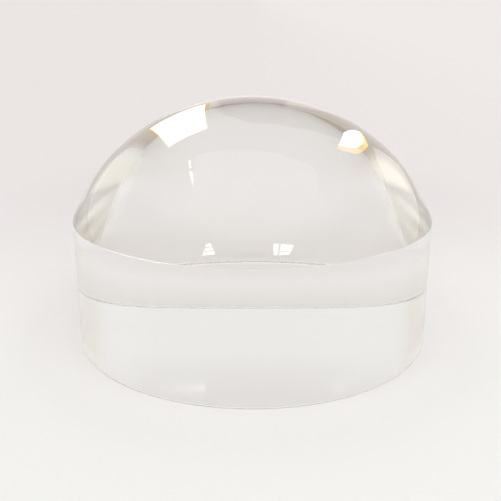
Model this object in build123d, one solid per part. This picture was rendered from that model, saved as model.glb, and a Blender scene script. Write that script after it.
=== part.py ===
# Low vision magnifier: a solid clear dome that lies flat side down on the page.
# One piece of cast acrylic: a short upright wall, a crisp shoulder, and a smooth dome
# whose crown is a touch flatter than a true sphere.
# Origin: centre of the flat base. +Z: up along the optical axis.
import os
from math import acos, degrees, sqrt

from build123d import *

# Driving dimensions, in millimetres
base_diameter = 65.0
wall_height = 22.9
total_height = 43.8
dome_half_width = 34.55
base_break = 0.35
shoulder_break = 0.6

# The dome's curve is an ellipse about the optical axis that passes through the shoulder.
base_radius = base_diameter / 2
dome_rise = total_height - wall_height
shoulder_share = base_radius / dome_half_width
shoulder_angle = degrees(acos(shoulder_share))
dome_half_height = dome_rise / (1 - sqrt(1 - shoulder_share**2))
dome_centre_height = total_height - dome_half_height


def lens_section():
    """Half of the lens's upright section, from the optical axis out to the wall."""
    centre = (0, 0)
    foot = (base_radius, 0)
    with BuildSketch(Plane.XZ) as section:
        with BuildLine():
            dome = EllipticalCenterArc(
                (0, dome_centre_height),
                dome_half_width,
                dome_half_height,
                start_angle=90,
                arc_size=shoulder_angle - 90,
            )
            crown = dome @ 0
            shoulder = dome @ 1
            Line(centre, foot)
            Line(foot, shoulder)
            Line(crown, centre)
        make_face()
        fillet(section.vertices().sort_by_distance(foot)[0], base_break)
        fillet(section.vertices().sort_by_distance(shoulder)[0], shoulder_break)
    return section.sketch


def dome_lens():
    """The whole lens: the section turned once about the optical axis."""
    return revolve(lens_section(), Axis.Z, 360)


os.makedirs("parts", exist_ok=True)
export_step(dome_lens(), "parts/dome_lens.step")
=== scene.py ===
import math

import bpy
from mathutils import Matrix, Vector


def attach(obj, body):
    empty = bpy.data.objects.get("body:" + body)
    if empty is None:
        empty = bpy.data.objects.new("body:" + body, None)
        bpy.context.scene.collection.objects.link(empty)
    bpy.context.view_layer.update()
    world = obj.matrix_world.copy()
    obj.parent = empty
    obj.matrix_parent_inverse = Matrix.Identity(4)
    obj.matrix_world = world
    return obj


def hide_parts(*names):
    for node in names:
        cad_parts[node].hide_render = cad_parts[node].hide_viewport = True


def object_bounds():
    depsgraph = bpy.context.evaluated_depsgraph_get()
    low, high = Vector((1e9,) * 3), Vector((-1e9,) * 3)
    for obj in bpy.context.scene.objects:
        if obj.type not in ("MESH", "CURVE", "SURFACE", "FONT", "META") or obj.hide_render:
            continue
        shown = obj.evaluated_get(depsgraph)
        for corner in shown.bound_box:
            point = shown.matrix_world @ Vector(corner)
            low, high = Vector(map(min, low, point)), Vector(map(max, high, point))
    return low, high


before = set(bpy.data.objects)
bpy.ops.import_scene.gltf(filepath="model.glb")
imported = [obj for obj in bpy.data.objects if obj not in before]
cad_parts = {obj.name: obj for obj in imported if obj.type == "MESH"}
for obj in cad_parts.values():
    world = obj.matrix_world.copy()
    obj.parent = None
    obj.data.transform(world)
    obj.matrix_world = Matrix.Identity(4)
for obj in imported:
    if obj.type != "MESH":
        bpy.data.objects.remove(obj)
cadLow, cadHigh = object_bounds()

scene = bpy.context.scene
baseRadius = (cadHigh.x - cadLow.x) / 2
lensHeight = cadHigh.z - cadLow.z
mm = 0.001   # every length is in metres unless its note says otherwise
print("frame loaded, the lens is", round(2 * baseRadius / mm, 1), "mm across")


# the camera stands a little above the lens and looks down on its shoulder
cameraSet = {
    "back": 4.270,       # in front of the lens, in base radii
    "up": 1.861,         # above the table, in base radii
    "tiltDown": 18.06,   # degrees, as are the next two
    "turn": 0.13,
    "roll": 0.03,
    "lens": 55.72,       # mm, as is the sensor's width
    "sensor": 36,
    "clipStart": 0.01,
    # light bounces many times inside the solid before it comes out
    "bounces": 40,
    "glossyBounces": 36,
    "transmissionBounces": 36,
}


def makeCamera():
    data = bpy.data.cameras.new("camera")
    data.lens = cameraSet["lens"]
    data.sensor_width = cameraSet["sensor"]
    data.clip_start = cameraSet["clipStart"]
    camera = bpy.data.objects.new("camera", data)
    camera.location = (0, -cameraSet["back"] * baseRadius, cameraSet["up"] * baseRadius)
    tilt, roll, turn = 90 - cameraSet["tiltDown"], cameraSet["roll"], cameraSet["turn"]
    camera.rotation_euler = (math.radians(tilt), math.radians(roll), math.radians(turn))
    scene.collection.objects.link(camera)
    scene.camera = camera
    scene.view_settings.view_transform = "Standard"
    scene.cycles.max_bounces = cameraSet["bounces"]
    scene.cycles.glossy_bounces = cameraSet["glossyBounces"]
    scene.cycles.transmission_bounces = cameraSet["transmissionBounces"]


makeCamera()
print("camera placed")


def newMaterial(name):
    material = bpy.data.materials.new(name)
    material.use_nodes = True
    nodes = material.node_tree.nodes
    return material, nodes, material.node_tree.links, nodes["Principled BSDF"]


def mapped(nodes, links, value, span, result=(0.0, 1.0), smooth=True):
    # carries a value from one span of numbers to another, gently at both ends when smooth
    node = nodes.new("ShaderNodeMapRange")
    if smooth:
        node.interpolation_type = "SMOOTHSTEP"
    node.inputs["From Min"].default_value = span[0]
    node.inputs["From Max"].default_value = span[1]
    node.inputs["To Min"].default_value = result[0]
    node.inputs["To Max"].default_value = result[1]
    links.new(value, node.inputs["Value"])
    return node.outputs["Result"]


def dimmed(nodes, links, color, share):
    node = nodes.new("ShaderNodeVectorMath")
    node.operation = "SCALE"
    links.new(color, node.inputs[0])
    links.new(share, node.inputs["Scale"])
    return node.outputs["Vector"]


# the table top: plain, pale, with painted shade that makes it a touch darker where it runs away from the
# camera, and painted light that makes it a little lighter toward the right
table = {
    "size": 80.0,
    "gap": 0.00005,      # the lens stands on a film of air
    "near": (0.857, 0.852, 0.847, 1),
    "far": (0.770, 0.735, 0.740, 1),
    "fade": (-0.04, 0.15),       # painted shade, from near to far along Y
    "right": (-0.05, 0.25),      # painted light, along X
    "rightTone": 1.05,
    "roughness": 0.8,
    # round patches of painted shade and painted light, each from its edge in to where its tone is full: a
    # faint soft painted shade beside and behind the lens, and painted light for the light that the lens
    # gathers behind, round and under its foot
    "patches": {
        "shade": {"at": (0.0, 0.075, 0.0), "edge": 0.105, "full": 0.050, "tone": 0.955},
        "shadeCore": {"at": (0.0, 0.070, 0.0), "edge": 0.027, "full": 0.012, "tone": 0.96},
        "pool": {"at": (0.0, 0.035, 0.0), "edge": 0.020, "full": 0.008, "tone": 1.075},
        "foot": {"at": (0.0, 0.0, 0.0), "edge": 0.043, "full": 0.034, "tone": 1.045},
        "under": {"at": (0.0, 0.0, 0.0), "edge": 0.034, "full": 0.030, "tone": 1.07},
    },
}


def paleTable():
    material, nodes, links, shader = newMaterial("paleTable")
    place = nodes.new("ShaderNodeTexCoord")
    split = nodes.new("ShaderNodeSeparateXYZ")
    tone = nodes.new("ShaderNodeValToRGB")
    tone.color_ramp.elements[0].color = table["near"]
    tone.color_ramp.elements[1].color = table["far"]
    links.new(place.outputs["Object"], split.inputs[0])
    # painted shade: the colour darkens from near to far along Y
    links.new(mapped(nodes, links, split.outputs["Y"], table["fade"]), tone.inputs["Fac"])
    # painted light: the colour grows lighter toward the right along X
    right = mapped(nodes, links, split.outputs["X"], table["right"], (1.0, table["rightTone"]))
    color = dimmed(nodes, links, tone.outputs["Color"], right)
    # painted shade and painted light: each round patch darkens or lightens the table's colour
    for patch in table["patches"].values():
        away = nodes.new("ShaderNodeVectorMath")
        away.operation = "DISTANCE"
        away.inputs[1].default_value = patch["at"]
        links.new(place.outputs["Object"], away.inputs[0])
        span = (patch["edge"], patch["full"])
        share = mapped(nodes, links, away.outputs["Value"], span, (1.0, patch["tone"]))
        color = dimmed(nodes, links, color, share)
    links.new(color, shader.inputs["Base Color"])
    shader.inputs["Roughness"].default_value = table["roughness"]
    shader.inputs["Specular IOR Level"].default_value = 0.0
    return material


def makeTable():
    half = table["size"] / 2
    mesh = bpy.data.meshes.new("tableTop")
    corners = [(-half, -half, 0), (half, -half, 0), (half, half, 0), (-half, half, 0)]
    mesh.from_pydata(corners, [], [(0, 1, 2, 3)])
    mesh.materials.append(paleTable())
    top = bpy.data.objects.new("tableTop", mesh)
    top.location.z = cadLow.z - table["gap"]
    scene.collection.objects.link(top)


makeTable()
print("table laid")


# the room: a soft even light, in bands by elevation, with shaded and warm places in it
room = {
    "bands": [
        (0, (0.86, 0.845, 0.83, 1)),
        (25.5, (0.85, 0.84, 0.825, 1)),
        (28.5, (0.74, 0.725, 0.71, 1)),
        (37, (0.84, 0.83, 0.82, 1)),
        (48, (1.02, 1.015, 1.01, 1)),
    ],
    # the middle and the half size of each place, as (azimuth, elevation) in degrees, with the
    # azimuth from -Y toward +X, and how soft its edge is, as a share of the half size; the later
    # ones lie over the earlier ones
    "places": {
        "skyFront": {"at": (0, 62), "half": (75, 18), "soft": 0.35, "color": (1.80, 1.79, 1.77, 1)},
        "sideLeft": {"at": (-96, 9), "half": (39, 18), "soft": 0.15, "color": (0.80, 0.765, 0.705, 1)},
        "sideRight": {"at": (96, 9), "half": (39, 18), "soft": 0.15, "color": (0.81, 0.775, 0.72, 1)},
        "warmLeft": {"at": (-34, 27), "half": (6, 9), "soft": 0.3, "color": (0.96, 0.89, 0.80, 1)},
        "warmRight": {"at": (34, 27), "half": (5, 9), "soft": 0.3, "color": (0.80, 0.76, 0.68, 1)},
        "facingLow": {"at": (-0.8, 12), "half": (28.4, 13), "soft": 0.2, "color": (0.68, 0.64, 0.59, 1)},
        "facing": {"at": (-0.8, 29.3), "half": (28.4, 5.3), "soft": 0.06, "color": (0.45, 0.38, 0.31, 1)},
        "darkCore": {"at": (0, 31.5), "half": (8.5, 3.5), "soft": 0.05, "color": (0.26, 0.18, 0.15, 1)},
    },
}


def makeRoom():
    world = bpy.data.worlds.new("room")
    world.use_nodes = True
    nodes, links = world.node_tree.nodes, world.node_tree.links

    def worked(operation, first, second=None):
        node = nodes.new("ShaderNodeMath")
        node.operation = operation
        links.new(first, node.inputs[0])
        if second is not None:
            links.new(second, node.inputs[1])
        return node.outputs[0]

    def worked3(operation, first, second=(0, 0, 0)):
        node = nodes.new("ShaderNodeVectorMath")
        node.operation = operation
        node.inputs[1].default_value = second
        links.new(first, node.inputs[0])
        return node.outputs[0]

    # the direction looked in, as an azimuth and an elevation
    place = nodes.new("ShaderNodeTexCoord")
    turned = worked3("MULTIPLY", place.outputs["Generated"], (1, -1, 1))
    split = nodes.new("ShaderNodeSeparateXYZ")
    angles = nodes.new("ShaderNodeCombineXYZ")
    links.new(turned, split.inputs[0])
    links.new(worked("ARCTAN2", split.outputs["X"], split.outputs["Y"]), angles.inputs[0])
    links.new(worked("ARCSINE", split.outputs["Z"]), angles.inputs[1])

    bands = nodes.new("ShaderNodeValToRGB")
    stops = bands.color_ramp.elements
    stops[0].color = room["bands"][0][1]
    stops[1].position = math.sin(math.radians(room["bands"][-1][0]))
    stops[1].color = room["bands"][-1][1]
    for height, color in room["bands"][1:-1]:
        stop = stops.new(math.sin(math.radians(height)))
        stop.color = color
    links.new(split.outputs["Z"], bands.inputs["Fac"])
    color = bands.outputs["Color"]

    for spot in room["places"].values():
        middle = [math.radians(angle) for angle in spot["at"]] + [0]
        half = [math.radians(angle) for angle in spot["half"]] + [1]
        away = worked3("SUBTRACT", angles.outputs[0], middle)
        share = worked3("ABSOLUTE", worked3("DIVIDE", away, half))
        parts = nodes.new("ShaderNodeSeparateXYZ")
        links.new(share, parts.inputs[0])
        farther = worked("MAXIMUM", parts.outputs["X"], parts.outputs["Y"])
        mix = nodes.new("ShaderNodeMix")
        mix.data_type = "RGBA"
        mix.inputs["B"].default_value = spot["color"]
        inside = mapped(nodes, links, farther, (1 + spot["soft"], 1 - spot["soft"]))
        links.new(inside, mix.inputs["Factor"])
        links.new(color, mix.inputs["A"])
        color = mix.outputs["Result"]

    links.new(color, nodes["Background"].inputs["Color"])
    scene.world = world


makeRoom()
print("room lit")


# glowing panels far off: windows in panes and plain boards that only show as gloss on the lens,
# and two thin glints that only show through it
panelDistance = 2.5
daylight = (1.0, 0.99, 0.96)
lamplight = (1.0, 0.74, 0.16)
windows = {
    # four corners as (azimuth, elevation), top left first, and where the bars divide them
    "leftWindow": {
        "corners": [(-31.9, 36.8), (-28.3, 37.6), (-23.3, 31.5), (-32.2, 29.0)],
        "columns": [0, 1], "rows": [0, 0.36, 0.68, 1], "bar": 0.09, "strength": 11.0,
    },
    "rightWindow": {
        "corners": [(14.4, 39.6), (29.2, 36.6), (23.8, 31.0), (13.2, 31.8)],
        "columns": [0, 0.32, 1], "rows": [0, 0.36, 0.68, 1], "bar": 0.08, "strength": 11.0,
    },
}
boards = {
    "leftBoard": {
        "corners": [(-160.0, 12.6), (-171.6, 14.0), (-157.3, 49.1), (-137.0, 44.2), (-153.3, 24.2)],
        "color": daylight, "strength": 6.0,
    },
    "leftBoardEdge": {
        "distance": 2.7,
        "corners": [(-160.0, 11.0), (-173.0, 13.0), (-157.0, 50.0), (-135.8, 45.0), (-152.0, 24.2)],
        "color": lamplight, "strength": 1.2,
    },
    "rightBoard": {
        "corners": [(139.8, 41.0), (152.2, 28.0), (158.1, 15.6), (158.8, 12.5), (149.3, 21.6),
                    (142.5, 30.0), (139.5, 36.0)],
        "color": daylight, "strength": 7.0,
    },
    "rightBoardEdge": {
        "distance": 2.7,
        "corners": [(136.4, 44.2), (151.0, 29.0), (158.0, 16.0), (159.5, 11.0), (147.8, 20.9),
                    (140.8, 28.6), (135.0, 35.3), (135.0, 43.1)],
        "color": lamplight, "strength": 3.6,
    },
    "overhead": {
        "corners": [(-125.0, 62.0), (-176.0, 76.5), (107.0, 61.5), (66.0, 53.0), (-58.0, 55.0)],
        "color": (1.0, 0.99, 0.98), "strength": 1.7,
    },
    "backLeft": {
        "distance": 2.9,
        "corners": [(-102.0, 5.0), (-138.0, 5.0), (-151.0, 9.0), (-151.0, 14.0), (-141.0, 30.0),
                    (-128.0, 34.0), (-102.0, 28.0)],
        "color": daylight, "strength": 1.15,
    },
    "backRight": {
        "distance": 2.9,
        "corners": [(154.0, 3.0), (102.0, 3.0), (102.0, 22.0), (138.0, 24.0), (150.0, 17.0)],
        "color": daylight, "strength": 1.5,
    },
    "backShade": {
        "distance": 3.1,
        "corners": [(-170.0, 24.0), (-178.0, 25.0), (174.0, 26.5), (160.0, 24.0), (148.0, 22.0),
                    (146.0, 38.0), (160.0, 50.0), (-178.0, 52.0), (-170.0, 40.0)],
        "color": (1.0, 0.95, 0.9), "strength": 0.35,
    },
    "backRim": {
        "distance": 3.0,
        "corners": [(-168.0, 0.5), (168.0, 0.5), (168.0, 17.0), (176.0, 23.0), (-170.0, 24.0)],
        "color": (1.0, 0.97, 0.95), "strength": 1.2,
    },
    "blindUpper": {
        "corners": [(-118.0, 59.9), (-106.0, 61.5), (-106.0, 62.4), (-118.0, 60.8)],
        "color": daylight, "strength": 10.0,
    },
    "blindLower": {
        "corners": [(-102.0, 61.5), (-74.0, 61.0), (-74.0, 62.2), (-102.0, 62.8)],
        "color": daylight, "strength": 8.0,
    },
    "lowStripLeft": {
        "corners": [(-106.0, 0.5), (-50.0, 0.5), (-50.0, 12.0), (-60.0, 10.5), (-88.0, 6.0),
                    (-104.0, 2.5)],
        "color": daylight, "strength": 14.0,
    },
    "lowStripRight": {
        "corners": [(66.0, 0.5), (96.0, 0.5), (96.0, 2.5), (66.0, 8.0)],
        "color": daylight, "strength": 9.0,
    },
    "glintRight": {
        "through": True,
        "corners": [(171.2, 27.95), (160.4, 27.95), (160.4, 28.05), (165.5, 28.08), (171.2, 28.16)],
        "color": daylight, "strength": 1.25,
    },
    "glintLeft": {
        "through": True,
        "corners": [(-160.2, 27.96), (-164.0, 27.96), (-164.0, 28.08), (-160.2, 28.08)],
        "color": daylight, "strength": 1.1,
    },
}


def towards(azimuth, elevation):
    turn, rise = math.radians(azimuth), math.radians(elevation)
    level = math.cos(rise)
    return Vector((math.sin(turn) * level, -math.cos(turn) * level, math.sin(rise)))


def glowing(name, color, strength):
    material = bpy.data.materials.new(name)
    material.use_nodes = True
    nodes, links = material.node_tree.nodes, material.node_tree.links
    nodes.remove(nodes["Principled BSDF"])
    glow = nodes.new("ShaderNodeEmission")
    glow.inputs["Color"].default_value = (*color, 1)
    glow.inputs["Strength"].default_value = strength
    links.new(glow.outputs[0], nodes["Material Output"].inputs["Surface"])
    return material


def hang(name, verts, faces, color, strength, through=False):
    mesh = bpy.data.meshes.new(name)
    mesh.from_pydata(verts, [], faces)
    mesh.materials.append(glowing(name + "Glow", color, strength))
    panel = bpy.data.objects.new(name, mesh)
    panel.visible_camera = False
    panel.visible_diffuse = False
    panel.visible_shadow = False
    panel.visible_transmission = through
    panel.visible_glossy = not through
    scene.collection.objects.link(panel)


def makeWindow(name, spot):
    corners = [towards(*corner) * panelDistance for corner in spot["corners"]]
    topLeft, topRight, lowRight, lowLeft = corners
    gap = spot["bar"] / 2
    verts, faces = [], []
    for left, right in zip(spot["columns"], spot["columns"][1:]):
        for top, low in zip(spot["rows"], spot["rows"][1:]):
            pane = [(left + gap, top + gap), (right - gap, top + gap),
                    (right - gap, low - gap), (left + gap, low - gap)]
            faces.append([len(verts) + k for k in range(4)])
            for across, down in pane:
                upper = topLeft.lerp(topRight, across)
                lower = lowLeft.lerp(lowRight, across)
                verts.append(upper.lerp(lower, down))
    hang(name, verts, faces, daylight, spot["strength"])


def makeBoard(name, spot):
    distance = spot.get("distance", panelDistance)
    verts = [towards(*corner) * distance for corner in spot["corners"]]
    through = spot.get("through", False)
    hang(name, verts, [range(len(verts))], spot["color"], spot["strength"], through)


for name, spot in windows.items():
    makeWindow(name, spot)
for name, spot in boards.items():
    makeBoard(name, spot)
print(len(windows), "windows and", len(boards), "boards hung")


# the lens: one turned solid, polished, with a wall that fingers have made a shade hazier
lens = {
    "wallHeight": 0.0229,
    "domeHalfWidth": 0.03455,
    "baseBreak": 0.00035,
    "shoulderBreak": 0.0006,
    "aroundSteps": 288,
    "domeSteps": 96,
    "wallSteps": 12,
    "baseSteps": 24,
    "breakSteps": 6,
    "ior": 1.5,
    "absorb": (0.90, 0.82, 0.66, 1),
    "absorbDensity": 1.0,
    "wallHaze": 0.042,
    "hazeBelow": (0.0002, 0.0010),   # the haze sets in this far below the shoulder
    # fine level scuffs round the wall, and faint finger marks all over
    "scuffs": {"scale": 55, "stretch": 60, "detail": 3, "span": (0.50, 0.75), "depth": 0.02},
    "smudges": {"scale": 70, "distortion": 0.6, "detail": 5, "span": (0.52, 0.80), "depth": 0.010},
}


def roundBreak(centre, radius, start, end):
    # points on an arc with the normal at each, without the first one
    points = []
    steps = lens["breakSteps"]
    for i in range(1, steps + 1):
        angle = start + (end - start) * i / steps
        out, up = math.cos(angle), math.sin(angle)
        points.append((centre[0] + radius * out, centre[1] + radius * up, out, up))
    return points


def lensProfile():
    # (radius, height, normal out, normal up) from the middle of the base to the crown
    wallHeight, halfWidth = lens["wallHeight"], lens["domeHalfWidth"]
    baseBreak, shoulderBreak = lens["baseBreak"], lens["shoulderBreak"]
    share = baseRadius / halfWidth
    halfHeight = (lensHeight - wallHeight) / (1 - math.sqrt(1 - share ** 2))
    centre = lensHeight - halfHeight

    def domeAt(t):
        x, z = halfWidth * math.cos(t), centre + halfHeight * math.sin(t)
        out, up = math.cos(t) / halfWidth, math.sin(t) / halfHeight
        size = math.hypot(out, up)
        return x, z, out / size, up / size

    # the shoulder's break has its centre at its own radius inside both the wall and the dome
    inner = baseRadius - shoulderBreak
    low, top = math.acos(share), math.pi / 2
    halvings = 60
    for _ in range(halvings):
        start = (low + top) / 2
        x, z, out, up = domeAt(start)
        if x - out * shoulderBreak > inner:
            low = start
        else:
            top = start
    breakHeight = z - up * shoulderBreak

    flat = baseRadius - baseBreak
    baseSteps, wallSteps, domeSteps = lens["baseSteps"], lens["wallSteps"], lens["domeSteps"]
    points = [(flat * i / baseSteps, 0.0, 0.0, -1.0) for i in range(baseSteps + 1)]
    points += roundBreak((flat, baseBreak), baseBreak, -math.pi / 2, 0)
    for i in range(1, wallSteps + 1):
        points.append((baseRadius, baseBreak + (breakHeight - baseBreak) * i / wallSteps, 1.0, 0.0))
    points += roundBreak((inner, breakHeight), shoulderBreak, 0, math.atan2(up, out))
    for i in range(1, domeSteps + 1):
        points.append(domeAt(start + (math.pi / 2 - start) * i / domeSteps))
    return points


def makeLens():
    profile = lensProfile()
    around = lens["aroundSteps"]
    verts, normals, faces = [(0, 0, 0)], [(0, 0, -1)], []
    rings = profile[1:-1]
    for radius, height, out, up in rings:
        for i in range(around):
            angle = 2 * math.pi * i / around
            x, y = math.cos(angle), math.sin(angle)
            verts.append((radius * x, radius * y, height))
            normals.append((out * x, out * y, up))
    verts.append((0, 0, profile[-1][1]))
    normals.append((0, 0, 1))
    crown = len(verts) - 1
    last = 1 + (len(rings) - 1) * around
    for i in range(around):
        j = (i + 1) % around
        faces.append((0, 1 + j, 1 + i))
        for k in range(len(rings) - 1):
            ring, above = 1 + k * around, 1 + (k + 1) * around
            faces.append((ring + i, ring + j, above + j, above + i))
        faces.append((last + i, last + j, crown))
    mesh = bpy.data.meshes.new("clearDome")
    mesh.from_pydata(verts, [], faces)
    mesh.shade_smooth()
    mesh.normals_split_custom_set_from_vertices(normals)
    mesh.materials.append(clearAcrylic())
    piece = bpy.data.objects.new("clearDome", mesh)
    piece.location.z = cadLow.z
    scene.collection.objects.link(piece)
    return piece


def wear(nodes, links, place, marks, result):
    # noise with only its peaks kept
    noise = nodes.new("ShaderNodeTexNoise")
    noise.inputs["Scale"].default_value = marks["scale"]
    noise.inputs["Detail"].default_value = marks["detail"]
    noise.inputs["Distortion"].default_value = marks.get("distortion", 0.0)
    links.new(place, noise.inputs["Vector"])
    return mapped(nodes, links, noise.outputs[0], marks["span"], result, smooth=False)


def clearAcrylic():
    material, nodes, links, shader = newMaterial("clearAcrylic")
    place = nodes.new("ShaderNodeTexCoord")
    split = nodes.new("ShaderNodeSeparateXYZ")
    stretch = nodes.new("ShaderNodeMapping")
    stretch.inputs["Scale"].default_value = (1, 1, lens["scuffs"]["stretch"])
    links.new(place.outputs["Object"], split.inputs[0])
    links.new(place.outputs["Object"], stretch.inputs["Vector"])

    hazeSpan = [lens["wallHeight"] - below for below in lens["hazeBelow"]]
    onWall = mapped(nodes, links, split.outputs["Z"], hazeSpan)
    wallResult = (lens["wallHaze"], lens["wallHaze"] + lens["scuffs"]["depth"])
    scuffs = wear(nodes, links, stretch.outputs["Vector"], lens["scuffs"], wallResult)
    smudgeResult = (0.0, lens["smudges"]["depth"])
    smudges = wear(nodes, links, place.outputs["Object"], lens["smudges"], smudgeResult)
    haze = nodes.new("ShaderNodeMath")
    haze.operation = "MULTIPLY_ADD"
    links.new(onWall, haze.inputs[0])
    links.new(scuffs, haze.inputs[1])
    links.new(smudges, haze.inputs[2])
    links.new(haze.outputs[0], shader.inputs["Roughness"])

    shader.inputs["Base Color"].default_value = (1, 1, 1, 1)
    shader.inputs["Transmission Weight"].default_value = 1.0
    shader.inputs["IOR"].default_value = lens["ior"]
    tint = nodes.new("ShaderNodeVolumeAbsorption")
    tint.inputs["Color"].default_value = lens["absorb"]
    tint.inputs["Density"].default_value = lens["absorbDensity"]
    links.new(tint.outputs["Volume"], nodes["Material Output"].inputs["Volume"])
    return material


clearDome = makeLens()
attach(clearDome, "root")
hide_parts("dome_lens")
print("lens turned and polished")
